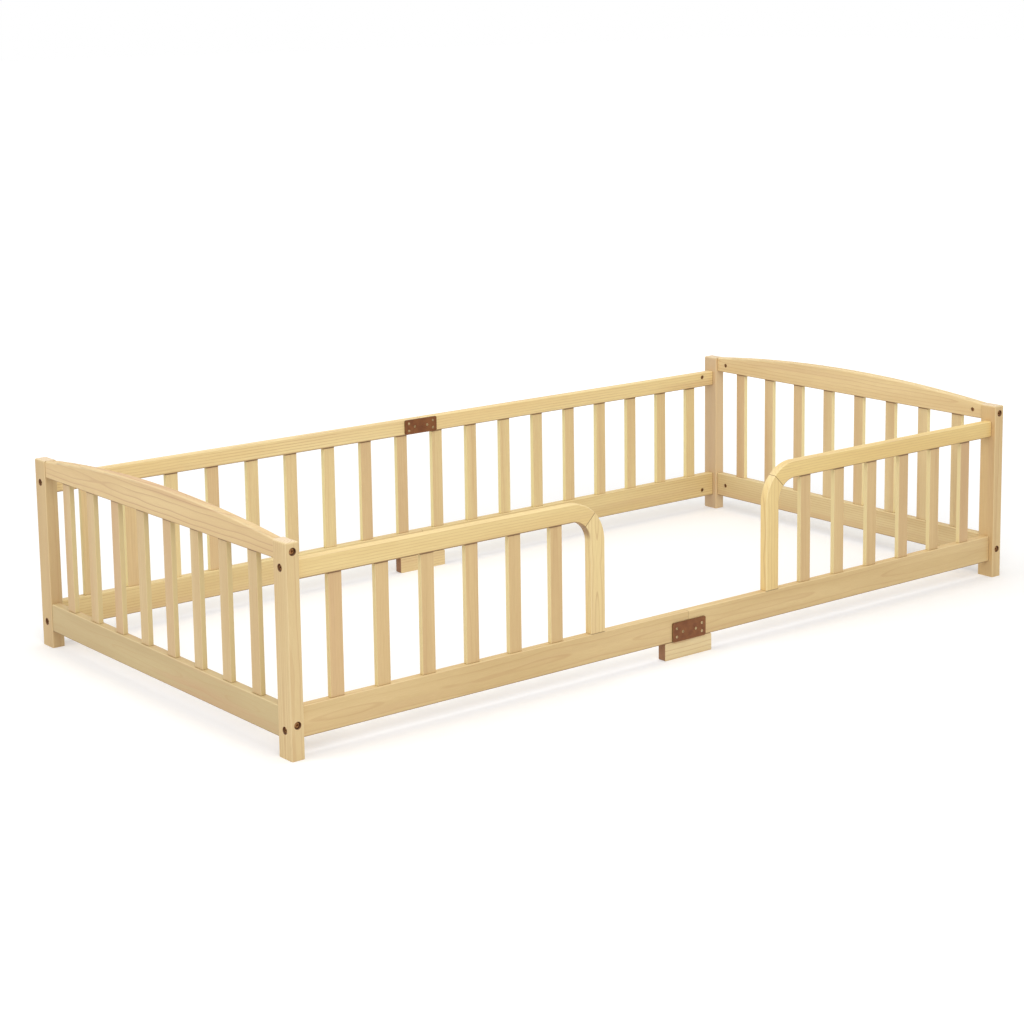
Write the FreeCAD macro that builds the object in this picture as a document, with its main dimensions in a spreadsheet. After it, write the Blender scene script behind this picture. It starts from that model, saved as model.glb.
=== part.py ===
import FreeCAD, Part
import os
import re

import Sketcher
from FreeCAD import Placement, Rotation, Vector

# A low floor bed of planed softwood for a small child: four corner posts, two
# end panels with an arched top rail, a full fence at the back, and at the front
# two guards whose corners curve down beside an open way in. The mattress lies on
# the floor inside. Millimetres; +X along the bed, +Y from the open front to the
# back, +Z up, the zero point on the floor under the middle.

os.makedirs("parts", exist_ok=True)
doc = FreeCAD.newDocument("floor_bed")

SIZES = {
    "bed_length": 1960,
    "bed_width": 980,
    "post_height": 406,
    "post_x": 28,
    "post_y": 44,
    "post_edge": 2.5,
    "top_round": 5,
    "rail_thick": 20,
    "end_inset": 2,
    "floor_gap": 36,
    "bottom_height": 60,
    "upper_drop": 37,
    "upper_height": 37,
    "arch_end": 36,
    "arch_rise": 24,
    "rail_edge": 3,
    "small_edge": 2,
    "slat_wide": 30,
    "slat_thick": 11,
    "slat_edge": 1.2,
    "slat_tenon": 15,
    "slat_play": 0.4,
    "entry_wide": 451,
    "corner_inner": 48,
    "guard_slats": 6,
    "guard_gap": 70,
    "back_slats": 9,
    "back_gap": 61.5,
    "end_slats": 8,
    "end_gap": 67,
    "plate_wide": 92,
    "plate_thick": 3,
    "plate_high": 41,
    "back_plate_high": 35,
    "plate_lift": 0.5,
    "plate_corner": 4,
    "plate_hole": 3.6,
    "screw_out": 35,
    "screw_in": 18,
    "screw_low": 10.5,
    "screw_apart": 17.5,
    "screw_shank": 3,
    "screw_head": 6,
    "screw_head_high": 1.2,
    "screw_long": 14,
    "pilot_hole": 3.2,
    "block_wide": 130,
    "block_dowel_x": 45,
    "bolt_shank": 6,
    "bolt_hole": 7,
    "bolt_head": 12,
    "bolt_head_high": 4.5,
    "bolt_socket": 5,
    "socket_deep": 2.5,
    "sink_hole": 14.5,
    "sink_deep": 7,
    "nut_round": 10,
    "nut_hole": 10.2,
    "nut_long": 14,
    "nut_below": 1,
    "nut_bore": 6.2,
    "nut_side": 38,
    "nut_end": 30,
    "past_nut": 8,
    "side_bolt_up": 18,
    "end_bolt_up": 30,
    "upper_bolt_up": 25,
    "arch_bolt_up": 18,
    "dowel_round": 8,
    "dowel_hole": 8.2,
    "dowel_in_post": 14,
    "dowel_in_rail": 24,
    "dowel_spare": 1,
    "side_dowel_up": 46,
    "end_dowel_up": 50,
    "upper_dowel_up": 9,
    "arch_dowel_up": 8,
    "joint_dowel_half": 30,
    "joint_dowel_low": 32,
    "joint_dowel_high": 48,
    "upper_joint_dowel": 27,
    "block_dowel_up": 20,
    "block_dowel_down": 20,
    "foot_dowel_apart": 18,
    "foot_dowel_down": 20,
    "foot_dowel_up": 24,
    "mitre_dowel_half": 14,
}

# Sizes that follow from the ones above.
FOLLOWING = {
    "half_length": "=bed_length/2",
    "half_width": "=bed_width/2",
    "side_inset": "=(post_y-rail_thick)/2",
    "half_side": "=half_length-post_x",
    "side_front": "=-half_width+side_inset",
    "side_back": "=half_width-side_inset-rail_thick",
    "end_clear": "=bed_width-2*post_y",
    "corner_outer": "=corner_inner+upper_height",
    "guard_reach": "=half_side-entry_wide/2",
    "corner_start": "=guard_reach-corner_outer",
    "corner_z": "=upper_height-corner_outer",
    "bottom_top": "=floor_gap+bottom_height",
    "upper_low": "=post_height-upper_drop-upper_height",
    "foot_z": "=bottom_top-upper_low",
    "arch_low": "=post_height-arch_end",
    "arch_radius": "=((end_clear/2)^2+arch_rise^2)/(2*arch_rise)",
    "mortise_wide": "=slat_wide+2*slat_play",
    "mortise_thick": "=slat_thick+2*slat_play",
    "slat_low": "=bottom_top-slat_tenon",
    "side_slat_long": "=upper_low-bottom_top+2*slat_tenon",
    "end_slat_long": "=arch_low-bottom_top+2*slat_tenon",
    "guard_pitch": "=(guard_reach-upper_height-2*guard_gap-slat_wide)/(guard_slats-1)",
    "back_pitch": "=(2*half_side-2*back_gap-slat_wide)/(2*back_slats-1)",
    "end_pitch": "=(end_clear-2*end_gap-slat_wide)/(end_slats-1)",
    "post_bolt_y": "=post_y/2",
    "end_bolt_x": "=post_x/2-end_inset",
    "mitre_middle": "=(corner_inner+corner_outer)/2",
    "mitre_share": "=sqrt(0.5)",
    "back_plate_z": "=upper_low+(upper_height-back_plate_high)/2",
    "plate_z": "=floor_gap+plate_lift",
}

sizes = doc.addObject("Spreadsheet::Sheet", "sizes")
for row, (word, value) in enumerate(list(SIZES.items()) + list(FOLLOWING.items()), start=1):
    sizes.set("A%d" % row, word)
    sizes.set("B%d" % row, str(value))
    sizes.setAlias("B%d" % row, word)
doc.recompute()

XY, XZ, YZ = "XY_Plane", "XZ_Plane", "YZ_Plane"
ALONG_NORMAL, AGAINST_NORMAL = True, False


def bound(text):
    """A sum of words from the table, written the way an expression needs it."""
    return re.sub(r"[a-z_]+", lambda found: "sizes." + found.group(0), str(text))


def amount(text):
    return float(sizes.evalExpression(bound(text)))


def tie(thing, prop, text):
    thing.setExpression(prop, bound(text))


def put(thing, x, y, z, turned=False):
    """Where a sub-part stands; turned is half a turn about the upright axis."""
    thing.Placement = Placement(
        Vector(amount(x), amount(y), amount(z)),
        Rotation(Vector(0, 0, 1), 180 if turned else 0),
    )
    for axis, text in zip("xyz", (x, y, z)):
        tie(thing, "Placement.Base." + axis, text)
    return thing


def new_body(label):
    body = doc.addObject("PartDesign::Body", label)
    body.Label = label
    return body


def new_sketch(body, plane, offset="0"):
    """A sketch on one of the body's own planes, offset along its normal."""
    sketch = body.newObject("Sketcher::SketchObject", "sketch")
    own = [f for f in body.Origin.OriginFeatures if f.Role == plane][0]
    sketch.AttachmentSupport = [(own, "")]
    sketch.MapMode = "FlatFace"
    if offset != "0":
        sketch.AttachmentOffset = Placement(Vector(0, 0, amount(offset)), Rotation())
        tie(sketch, "AttachmentOffset.Base.z", offset)
    return sketch


def fix(sketch, kind, *where_and_value):
    """A dimension tied to the table; the last entry is its value as a sum of words."""
    *where, text = where_and_value
    index = sketch.addConstraint(Sketcher.Constraint(kind, *where, amount(text)))
    if re.search("[a-z]", str(text)):
        tie(sketch, "Constraints[%d]" % index, text)


def rectangle(sketch, left, low, wide, high):
    a, b, w, h = (amount(t) for t in (left, low, wide, high))
    corners = [Vector(a, b), Vector(a + w, b), Vector(a + w, b + h), Vector(a, b + h)]
    g = sketch.GeometryCount
    for i in range(4):
        sketch.addGeometry(Part.LineSegment(corners[i], corners[(i + 1) % 4]))
    for i in range(4):
        sketch.addConstraint(Sketcher.Constraint("Coincident", g + i, 2, g + (i + 1) % 4, 1))
        turn = "Horizontal" if i % 2 == 0 else "Vertical"
        sketch.addConstraint(Sketcher.Constraint(turn, g + i))
    fix(sketch, "DistanceX", g, 1, g, 2, wide)
    fix(sketch, "DistanceY", g + 1, 1, g + 1, 2, high)
    fix(sketch, "DistanceX", -1, 1, g, 1, left)
    fix(sketch, "DistanceY", -1, 1, g, 1, low)


def circle(sketch, across, up, round_size):
    spot = Vector(amount(across), amount(up))
    g = sketch.addGeometry(Part.Circle(spot, Vector(0, 0, 1), amount(round_size) / 2))
    fix(sketch, "Diameter", g, round_size)
    fix(sketch, "DistanceX", -1, 1, g, 3, across)
    fix(sketch, "DistanceY", -1, 1, g, 3, up)


def pad(body, sketch, length, along=ALONG_NORMAL):
    made = body.newObject("PartDesign::Pad", "pad")
    made.Profile = sketch
    made.Length = amount(length)
    made.Reversed = not along
    tie(made, "Length", length)
    return made


def pocket(body, sketch, depth, along=AGAINST_NORMAL):
    """A pocket that has to take some wood away."""
    doc.recompute()
    before = body.Shape.Volume
    made = body.newObject("PartDesign::Pocket", "pocket")
    made.Profile = sketch
    made.Length = amount(depth)
    made.Reversed = along
    tie(made, "Length", depth)
    doc.recompute()
    if not body.Shape.Volume < before - 1:
        raise ValueError("a pocket of %s removes nothing" % body.Label)
    return made


def repeat(body, feature, sketch, axis, count, pitch):
    """A row of one feature along an axis of its sketch."""
    row = body.newObject("PartDesign::LinearPattern", "row")
    row.Originals = [feature]
    row.Direction = (sketch, [axis])
    row.Length = amount("(%s-1)*%s" % (count, pitch))
    row.Occurrences = int(amount(count))
    tie(row, "Length", "(%s-1)*%s" % (count, pitch))
    tie(row, "Occurrences", count)
    body.Tip = row
    doc.recompute()
    return row


def soften(body, radius, wanted):
    """Round the edges for which wanted(edge) is true."""
    doc.recompute()
    base = body.Tip
    names = ["Edge%d" % (i + 1) for i, edge in enumerate(base.Shape.Edges) if wanted(edge)]
    made = body.newObject("PartDesign::Fillet", "fillet")
    made.Base = (base, names)
    made.Radius = amount(radius)
    tie(made, "Radius", radius)
    doc.recompute()


def runs(axis, at_least=0.0):
    """True for straight edges along an axis that are at least so long."""

    def wanted(edge):
        if edge.Curve.TypeId != "Part::GeomLine" or edge.Length < at_least:
            return False
        return abs(abs(getattr(edge.Curve.Direction, axis)) - 1) < 1e-6

    return wanted


def drill(body, plane, offset, spots, round_size, depth, along=AGAINST_NORMAL):
    """Round holes of one size from one plane of the body."""
    sketch = new_sketch(body, plane, offset)
    for across, up in spots:
        circle(sketch, across, up, round_size)
    return pocket(body, sketch, depth, along)


def board(label, plane, wide, high, length, edge, axis, along=ALONG_NORMAL):
    """A straight board with its four long edges eased."""
    body = new_body(label)
    sketch = new_sketch(body, plane)
    rectangle(sketch, "0", "0", wide, high)
    pad(body, sketch, length, along)
    soften(body, edge, runs(axis, amount(length) * 0.9))
    return body


# ---------------------------------------------------------------- corner posts


def round_over(body, plane, side, size, depth, along):
    """Take a quarter-round off one upper edge; side is 0 or the word for the far side."""
    at, top, r = amount(side), amount("post_height"), amount(size)
    inward = 1 if at == 0 else -1
    corner = Vector(at, top)
    on_top, down = Vector(at + inward * r, top), Vector(at, top - r)
    centre = Vector(at + inward * r, top - r)
    sketch = new_sketch(body, plane)
    first, last = (90, 180) if inward == 1 else (0, 90)
    sketch.addGeometry(Part.LineSegment(corner, on_top))
    sketch.addGeometry(Part.LineSegment(corner, down))
    turn = FreeCAD.Units.parseQuantity("1 deg").getValueAs("rad").Value
    ring = Part.Circle(centre, Vector(0, 0, 1), r)
    sketch.addGeometry(Part.ArcOfCircle(ring, first * turn, last * turn))
    sketch.addConstraint(Sketcher.Constraint("Coincident", 0, 1, 1, 1))
    ends = (1, 2) if inward == 1 else (2, 1)
    sketch.addConstraint(Sketcher.Constraint("Coincident", 0, 2, 2, ends[0]))
    sketch.addConstraint(Sketcher.Constraint("Coincident", 1, 2, 2, ends[1]))
    sketch.addConstraint(Sketcher.Constraint("Horizontal", 0))
    sketch.addConstraint(Sketcher.Constraint("Vertical", 1))
    fix(sketch, "Radius", 2, size)
    fix(sketch, "DistanceX", *((0, 1, 0, 2) if inward == 1 else (0, 2, 0, 1)), size)
    fix(sketch, "DistanceY", 1, 2, 1, 1, size)
    fix(sketch, "DistanceX", -1, 1, 0, 1, side)
    fix(sketch, "DistanceY", -1, 1, 0, 1, "post_height")
    pocket(body, sketch, depth, along)


def post(label, x, y, outer_x_is_zero, turned):
    """A corner post, its outer long face at y 0, bored for two side and two end rails."""
    body = board(label, XY, "post_x", "post_y", "post_height", "post_edge", "z")
    for side in ("0", "post_x"):
        round_over(body, XZ, side, "top_round", "post_y", AGAINST_NORMAL)
    round_over(body, YZ, "0", "top_round", "post_x", ALONG_NORMAL)
    side_bolts = [("post_bolt_y", "floor_gap+side_bolt_up"),
                  ("post_bolt_y", "upper_low+upper_bolt_up")]
    side_dowels = [("post_bolt_y", "floor_gap+side_dowel_up"),
                   ("post_bolt_y", "upper_low+upper_dowel_up")]
    outer, inner = ("0", "post_x") if outer_x_is_zero else ("post_x", "0")
    inward = ALONG_NORMAL if outer_x_is_zero else AGAINST_NORMAL
    outward = AGAINST_NORMAL if outer_x_is_zero else ALONG_NORMAL
    drill(body, YZ, "0", side_bolts, "bolt_hole", "post_x", ALONG_NORMAL)
    drill(body, YZ, outer, side_bolts, "sink_hole", "sink_deep", inward)
    drill(body, YZ, inner, side_dowels, "dowel_hole", "dowel_in_post+dowel_spare", outward)
    end_bolts = [("post_x/2", "floor_gap+end_bolt_up"), ("post_x/2", "arch_low+arch_bolt_up")]
    end_dowels = [("post_x/2", "floor_gap+end_dowel_up"),
                  ("post_x/2", "arch_low+arch_dowel_up")]
    drill(body, XZ, "0", end_bolts, "bolt_hole", "post_y", AGAINST_NORMAL)
    drill(body, XZ, "0", end_bolts, "sink_hole", "sink_deep", AGAINST_NORMAL)
    deep = "dowel_in_post+dowel_spare"
    drill(body, XZ, "-post_y", end_dowels, "dowel_hole", deep, ALONG_NORMAL)
    return put(body, x, y, "0", turned)


posts = [
    post("post_front_left", "-half_length", "-half_width", True, False),
    post("post_front_right", "half_side", "-half_width", False, False),
    post("post_back_right", "half_length", "half_width", True, True),
    post("post_back_left", "-half_side", "half_width", False, True),
]

# ------------------------------------------------------------------ side rails
# A side rail lies with x 0 on the post face and its far end on the joint in the
# middle of the bed; its turned twin makes the other half.


def mortises(body, level, row, along):
    """The mortises of one row of slats, guard or back, sunk from one level of a rail."""
    sketch = new_sketch(body, XY, level)
    left, low = row + "_gap-slat_play", "(rail_thick-mortise_thick)/2"
    rectangle(sketch, left, low, "mortise_wide", "mortise_thick")
    cut = pocket(body, sketch, "slat_tenon", along)
    repeat(body, cut, sketch, "H_Axis", row + "_slats", row + "_pitch")


def rail_end(body, bolt_z, dowel_z, inner):
    """Bolt hole, barrel-nut hole and dowel hole at the post end of a side rail.

    The barrel nut goes in from the inner face and its hole stops short of the outer.
    """
    middle = "rail_thick/2"
    reach = "nut_side+past_nut+dowel_spare"
    drill(body, YZ, "0", [(middle, bolt_z)], "bolt_hole", reach, ALONG_NORMAL)
    face, inward = ("0", AGAINST_NORMAL) if inner == "0" else ("-rail_thick", ALONG_NORMAL)
    deep = "nut_below+nut_long+nut_below/2"
    drill(body, XZ, face, [("nut_side", bolt_z)], "nut_hole", deep, inward)
    deep = "dowel_in_rail+dowel_spare"
    drill(body, YZ, "0", [(middle, dowel_z)], "dowel_hole", deep, ALONG_NORMAL)


def side_rail(label, turned, y, z, high, row, from_top, joint, inner, plate_at, plate_low):
    """Half of a side rail. joint lists the heights of its middle dowels.

    inner and plate_at say which of its faces looks into the bed and which has the plate.
    """
    body = board(label, YZ, "rail_thick", high, "half_side", "rail_edge", "x")
    if from_top:
        mortises(body, high, row, AGAINST_NORMAL)
        rail_end(body, "side_bolt_up", "side_dowel_up", inner)
    else:
        mortises(body, "0", row, ALONG_NORMAL)
        rail_end(body, "upper_bolt_up", "upper_dowel_up", inner)
    deep = "joint_dowel_half+dowel_spare"
    spots = [("rail_thick/2", at) for at in joint]
    drill(body, YZ, "half_side", spots, "dowel_hole", deep)
    face, inward = ("0", AGAINST_NORMAL) if plate_at == "0" else ("-rail_thick", ALONG_NORMAL)
    low = plate_low + "+screw_low"
    spots = [
        ("half_side-screw_out", low),
        ("half_side-screw_out", low + "+screw_apart"),
        ("half_side-screw_in", low + "+screw_apart/2"),
    ]
    drill(body, XZ, face, spots, "pilot_hole", "screw_long-plate_thick+dowel_spare", inward)
    shift = "rail_thick" if turned else "0"
    at_x = "half_side" if turned else "-half_side"
    return put(body, at_x, y + "+" + shift, z, turned)


def bottom_side_rail(label, turned, y, row, inner, outer):
    body = side_rail(
        label, turned, y, "floor_gap", "bottom_height", row, True,
        ("joint_dowel_low", "joint_dowel_high"), inner, outer, "plate_lift",
    )
    spot = [("half_side-block_dowel_x", "rail_thick/2")]
    drill(body, XY, "0", spot, "dowel_hole", "block_dowel_up+dowel_spare", ALONG_NORMAL)
    return body


def upper_back_rail(label, turned, inner):
    return side_rail(
        label, turned, "side_back", "upper_low", "upper_height", "back", False,
        ("upper_joint_dowel",), inner, inner,
        "(upper_height-back_plate_high)/2-(screw_low-(back_plate_high-screw_apart)/2)",
    )


rails = []
for turned, hand in ((False, "left"), (True, "right")):
    # near is the face towards the open front, far the one towards the back
    near, far = ("rail_thick", "0") if turned else ("0", "rail_thick")
    front = bottom_side_rail(
        "front_bottom_rail_" + hand, turned, "side_front", "guard", far, near
    )
    feet = [
        ("guard_reach-upper_height/2-foot_dowel_apart/2", "rail_thick/2"),
        ("guard_reach-upper_height/2+foot_dowel_apart/2", "rail_thick/2"),
    ]
    drill(front, XY, "bottom_height", feet, "dowel_hole", "foot_dowel_down+dowel_spare")
    rails.append(front)
    rails.append(
        bottom_side_rail("back_bottom_rail_" + hand, turned, "side_back", "back", near, far)
    )
    rails.append(upper_back_rail("back_top_rail_" + hand, turned, near))

# ------------------------------------------------------------------- end rails
# An end rail lies with y 0 on the face of the front post (left end) and is
# turned for the other end.


def end_rail_work(body, level, from_top, bolt_z, dowel_z):
    """Mortises and the joints at both ends of an end rail."""
    sketch = new_sketch(body, XY, level)
    low = "end_gap-slat_play"
    rectangle(sketch, "(rail_thick-mortise_thick)/2", low, "mortise_thick", "mortise_wide")
    cut = pocket(body, sketch, "slat_tenon", AGAINST_NORMAL if from_top else ALONG_NORMAL)
    repeat(body, cut, sketch, "V_Axis", "end_slats", "end_pitch")
    reach = "nut_end+past_nut+dowel_spare"
    deep = "dowel_in_rail+dowel_spare"
    for face, inward in (("0", AGAINST_NORMAL), ("-end_clear", ALONG_NORMAL)):
        drill(body, XZ, face, [("end_bolt_x", bolt_z)], "bolt_hole", reach, inward)
        drill(body, XZ, face, [("end_bolt_x", dowel_z)], "dowel_hole", deep, inward)
    spots = [("nut_end", bolt_z), ("end_clear-nut_end", bolt_z)]
    deep = "nut_below+nut_long+nut_below/2"
    drill(body, YZ, "rail_thick", spots, "nut_hole", deep, AGAINST_NORMAL)


def end_place(body, z, turned):
    if turned:
        return put(body, "half_length-end_inset", "end_clear/2", z, True)
    return put(body, "-half_length+end_inset", "-end_clear/2", z, False)


def end_bottom_rail(label, turned):
    body = board(
        label, XZ, "rail_thick", "bottom_height", "end_clear", "rail_edge", "y",
        AGAINST_NORMAL,
    )
    end_rail_work(body, "bottom_height", True, "end_bolt_up", "end_dowel_up")
    return end_place(body, "floor_gap", turned)


def arch_rail(label, turned):
    """The top rail of an end panel: straight below, a low arch above."""
    body = new_body(label)
    sketch = new_sketch(body, YZ)
    long, end, r = amount("end_clear"), amount("arch_end"), amount("arch_radius")
    low_left, low_right = Vector(0, 0), Vector(long, 0)
    high_left, high_right = Vector(0, end), Vector(long, end)
    crown = Vector(long / 2, end + amount("arch_rise"))
    sketch.addGeometry(Part.LineSegment(low_left, low_right))
    sketch.addGeometry(Part.LineSegment(low_right, high_right))
    sketch.addGeometry(Part.Arc(high_right, crown, high_left))
    sketch.addGeometry(Part.LineSegment(high_left, low_left))
    sketch.addConstraint(Sketcher.Constraint("Coincident", 0, 2, 1, 1))
    sketch.addConstraint(Sketcher.Constraint("Coincident", 1, 2, 2, 1))
    sketch.addConstraint(Sketcher.Constraint("Coincident", 2, 2, 3, 1))
    sketch.addConstraint(Sketcher.Constraint("Coincident", 3, 2, 0, 1))
    sketch.addConstraint(Sketcher.Constraint("Coincident", 0, 1, -1, 1))
    sketch.addConstraint(Sketcher.Constraint("Horizontal", 0))
    sketch.addConstraint(Sketcher.Constraint("Vertical", 1))
    sketch.addConstraint(Sketcher.Constraint("Vertical", 3))
    fix(sketch, "DistanceX", 0, 1, 0, 2, "end_clear")
    fix(sketch, "DistanceY", 3, 2, 3, 1, "arch_end")
    fix(sketch, "DistanceY", 1, 1, 1, 2, "arch_end")
    fix(sketch, "Radius", 2, "arch_radius")
    pad(body, sketch, "rail_thick")
    soften(body, "top_round", lambda edge: edge.Curve.TypeId == "Part::GeomCircle")
    soften(body, "small_edge", runs("y", amount("end_clear") * 0.9))
    end_rail_work(body, "0", False, "arch_bolt_up", "arch_dowel_up")
    return end_place(body, "arch_low", turned)


for turned, hand in ((False, "left"), (True, "right")):
    rails.append(end_bottom_rail(hand + "_end_bottom_rail", turned))
    rails.append(arch_rail(hand + "_end_arch_rail", turned))

# ---------------------------------------------------------------- front guards
# Each guard is a top rail and an upright of the same board. Both curve through
# half of the corner and meet on a mitre at 45 degrees.

MITRE = 45


def mitre_hole(body, ahead):
    """The dowel hole square to the mitre, in the middle of the board."""
    sketch = new_sketch(body, XY)
    half = "mitre_middle*mitre_share"
    at_x, at_z = "corner_start+" + half, "corner_z+" + half
    sketch.AttachmentOffset = Placement(
        Vector(amount(at_x), 0, amount(at_z)), Rotation(Vector(0, 1, 0), MITRE + 90)
    )
    tie(sketch, "AttachmentOffset.Base.x", at_x)
    tie(sketch, "AttachmentOffset.Base.z", at_z)
    circle(sketch, "0", "rail_thick/2", "dowel_hole")
    pocket(body, sketch, "mitre_dowel_half+dowel_spare", ahead)


def corner_board(label, geometry, links):
    body = new_body(label)
    sketch = new_sketch(body, XZ)
    for piece in geometry:
        sketch.addGeometry(piece)
    for link in links:
        sketch.addConstraint(Sketcher.Constraint(*link))
    return body, sketch


def corner_points():
    c = Vector(amount("corner_start"), amount("corner_z"))
    inner, outer = amount("corner_inner"), amount("corner_outer")
    slant = Vector(1, 1).normalize()
    return c, inner, outer, c + slant * inner, c + slant * outer


def arc(centre, radius, first, last):
    turn = FreeCAD.Units.parseQuantity("1 deg").getValueAs("rad").Value
    return Part.ArcOfCircle(
        Part.Circle(centre, Vector(0, 0, 1), radius), first * turn, last * turn
    )


def long_outline(edge):
    """Edges that follow the outline of a guard piece, not its ends or its mitre."""
    across = edge.Vertexes[0].Point.y - edge.Vertexes[-1].Point.y
    if abs(across) > 1:
        return False
    return edge.Curve.TypeId == "Part::GeomCircle" or edge.Length > 2 * amount("corner_inner")


def guard_top(label, turned):
    c, inner, outer, low, high = corner_points()
    top = amount("upper_height")
    geometry = [
        Part.LineSegment(Vector(0, 0), Vector(c.x, 0)),
        arc(c, inner, MITRE, 90),
        Part.LineSegment(low, high),
        arc(c, outer, MITRE, 90),
        Part.LineSegment(Vector(c.x, top), Vector(0, top)),
        Part.LineSegment(Vector(0, top), Vector(0, 0)),
    ]
    links = [
        ("Coincident", 0, 1, -1, 1), ("Coincident", 5, 2, 0, 1), ("Coincident", 4, 2, 5, 1),
        ("Tangent", 0, 2, 1, 2), ("Tangent", 3, 2, 4, 1), ("Coincident", 1, 1, 2, 1),
        ("Coincident", 2, 2, 3, 1), ("Coincident", 1, 3, 3, 3), ("Horizontal", 0),
        ("Vertical", 5), ("PointOnObject", 1, 3, 2),
    ]
    body, sketch = corner_board(label, geometry, links)
    fix(sketch, "DistanceX", 0, 1, 0, 2, "corner_start")
    fix(sketch, "DistanceY", 5, 2, 5, 1, "upper_height")
    fix(sketch, "Radius", 1, "corner_inner")
    fix(sketch, "DistanceX", 1, 3, 1, 1, "corner_inner*mitre_share")
    pad(body, sketch, "rail_thick", AGAINST_NORMAL)
    soften(body, "rail_edge", long_outline)
    mortises(body, "0", "guard", ALONG_NORMAL)
    inner = "0" if turned else "rail_thick"
    rail_end(body, "upper_bolt_up", "upper_dowel_up", inner)
    mitre_hole(body, False)
    return guard_place(body, turned)


def guard_upright(label, turned):
    c, inner, outer, low, high = corner_points()
    foot = amount("foot_z")
    geometry = [
        Part.LineSegment(Vector(c.x + inner, foot), Vector(c.x + outer, foot)),
        Part.LineSegment(Vector(c.x + outer, foot), Vector(c.x + outer, c.y)),
        arc(c, outer, 0, MITRE),
        Part.LineSegment(high, low),
        arc(c, inner, 0, MITRE),
        Part.LineSegment(Vector(c.x + inner, c.y), Vector(c.x + inner, foot)),
    ]
    links = [
        ("Coincident", 0, 2, 1, 1), ("Tangent", 1, 2, 2, 1), ("Coincident", 2, 2, 3, 1),
        ("Coincident", 3, 2, 4, 2), ("Tangent", 4, 1, 5, 1), ("Coincident", 5, 2, 0, 1),
        ("Coincident", 2, 3, 4, 3), ("Horizontal", 0), ("Vertical", 5),
        ("PointOnObject", 4, 3, 3),
    ]
    body, sketch = corner_board(label, geometry, links)
    fix(sketch, "Radius", 4, "corner_inner")
    fix(sketch, "DistanceX", 0, 1, 0, 2, "upper_height")
    fix(sketch, "DistanceX", -1, 1, 4, 3, "corner_start")
    fix(sketch, "DistanceY", 4, 3, -1, 1, "-corner_z")
    fix(sketch, "DistanceY", 0, 1, -1, 1, "-foot_z")
    fix(sketch, "DistanceX", 4, 3, 4, 2, "corner_inner*mitre_share")
    pad(body, sketch, "rail_thick", AGAINST_NORMAL)
    soften(body, "rail_edge", long_outline)
    middle = "guard_reach-upper_height/2"
    feet = [(middle + "-foot_dowel_apart/2", "rail_thick/2"),
            (middle + "+foot_dowel_apart/2", "rail_thick/2")]
    drill(body, XY, "foot_z", feet, "dowel_hole", "foot_dowel_up+dowel_spare", ALONG_NORMAL)
    mitre_hole(body, True)
    return guard_place(body, turned)


def guard_place(body, turned):
    if turned:
        return put(body, "half_side", "side_front+rail_thick", "upper_low", True)
    return put(body, "-half_side", "side_front", "upper_low", False)


guards = []
for turned, hand in ((False, "left"), (True, "right")):
    guards.append(guard_top("guard_top_rail_" + hand, turned))
    guards.append(guard_upright("guard_upright_" + hand, turned))

# ----------------------------------------------------------------------- slats


def slat(label, x, y, wide, thick, long):
    body = board(label, XY, wide, thick, long, "slat_edge", "z")
    return put(body, x, y, "slat_low")


slats = []
for count in range(int(amount("guard_slats"))):
    along = "guard_gap+%d*guard_pitch" % count
    y = "side_front+(rail_thick-slat_thick)/2"
    left, right = "-half_side+" + along, "half_side-slat_wide-(%s)" % along
    for hand, x in (("left", left), ("right", right)):
        name = "guard_slat_%s_%d" % (hand, count + 1)
        slats.append(slat(name, x, y, "slat_wide", "slat_thick", "side_slat_long"))
for count in range(int(amount("end_slats"))):
    y = "-end_clear/2+end_gap+%d*end_pitch" % count
    left = "-half_length+end_inset+(rail_thick-slat_thick)/2"
    right = "half_length-end_inset-(rail_thick+slat_thick)/2"
    for hand, x in (("left", left), ("right", right)):
        name = "%s_end_slat_%d" % (hand, count + 1)
        slats.append(slat(name, x, y, "slat_thick", "slat_wide", "end_slat_long"))

back_rows = []
for hand in ("left", "right"):
    loose = []
    for count in range(int(amount("back_slats"))):
        along = "back_gap+%d*back_pitch" % count
        left, right = "-half_side+" + along, "half_side-slat_wide-(%s)" % along
        y = "side_back+(rail_thick-slat_thick)/2"
        name = "back_slat_%s_%d" % (hand, count + 1)
        x = left if hand == "left" else right
        loose.append(slat(name, x, y, "slat_wide", "slat_thick", "side_slat_long"))
    row = doc.addObject("Part::Compound", "back_slats_" + hand)
    row.Label = "back_slats_" + hand
    row.Links = loose
    back_rows.append(row)

# ------------------------------------------------ blocks under the side joints


def block(label, y):
    body = board(label, XZ, "block_wide", "floor_gap", "rail_thick", "small_edge", "y",
                 AGAINST_NORMAL)
    spots = [("block_wide/2-block_dowel_x", "rail_thick/2"),
             ("block_wide/2+block_dowel_x", "rail_thick/2")]
    drill(body, XY, "floor_gap", spots, "dowel_hole", "block_dowel_down+dowel_spare")
    return put(body, "-block_wide/2", y, "0")


blocks = [block("front_centre_block", "side_front"), block("back_centre_block", "side_back")]

# ---------------------------------------------------------------- joint plates


def screw_spots(high, middle="plate_wide/2"):
    """The six screw places of a plate, three on each side of the joint."""
    low = "(%s-screw_apart)/2" % high if high == "back_plate_high" else "screw_low"
    spots = []
    for sign in ("-", "+"):
        spots.append((middle + sign + "screw_out", low))
        spots.append((middle + sign + "screw_out", low + "+screw_apart"))
        spots.append((middle + sign + "screw_in", low + "+screw_apart/2"))
    return spots


def plate(label, high, y, z):
    body = board(label, XZ, "plate_wide", high, "plate_thick", "plate_corner", "y",
                 AGAINST_NORMAL)
    drill(body, XZ, "0", screw_spots(high), "plate_hole", "plate_thick")
    return put(body, "-plate_wide/2", y, z)


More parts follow.
